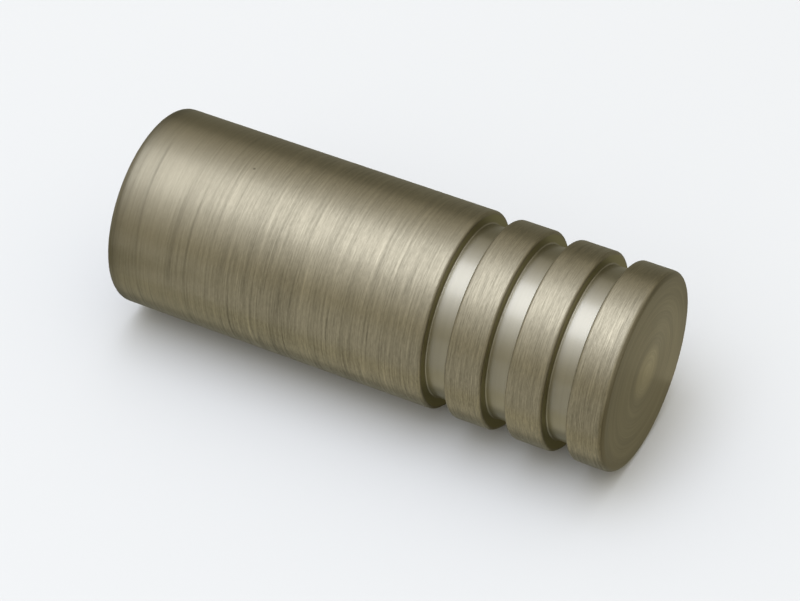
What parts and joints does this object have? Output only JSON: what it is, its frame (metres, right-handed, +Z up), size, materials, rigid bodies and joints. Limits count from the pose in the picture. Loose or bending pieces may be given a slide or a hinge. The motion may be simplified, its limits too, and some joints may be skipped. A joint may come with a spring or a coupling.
{
  "type": "curtain pole finial",
  "caption": "Turned metal finial that slips over the end of a round curtain pole: a plain sleeve, ring grooves and ridges, and a flat closed end.",
  "frame": {"origin": "centre of the socket's mouth, where the pole goes in", "axes": "+X along the axis from the open mouth to the closed end face; +Z up, the grub screw is on the underside"},
  "size_m": [0.0851, 0.032, 0.032],
  "materials": {
    "satin_nickel": "turned aluminium, nickel-plated and brushed round the axis, in a warm grey satin",
    "plated_steel": "small machine screw of plated steel, plain"
  },
  "bodies": {
    "root": {"finial_body": "satin_nickel", "grub_screw": "plated_steel"}
  },
  "joints": []
}
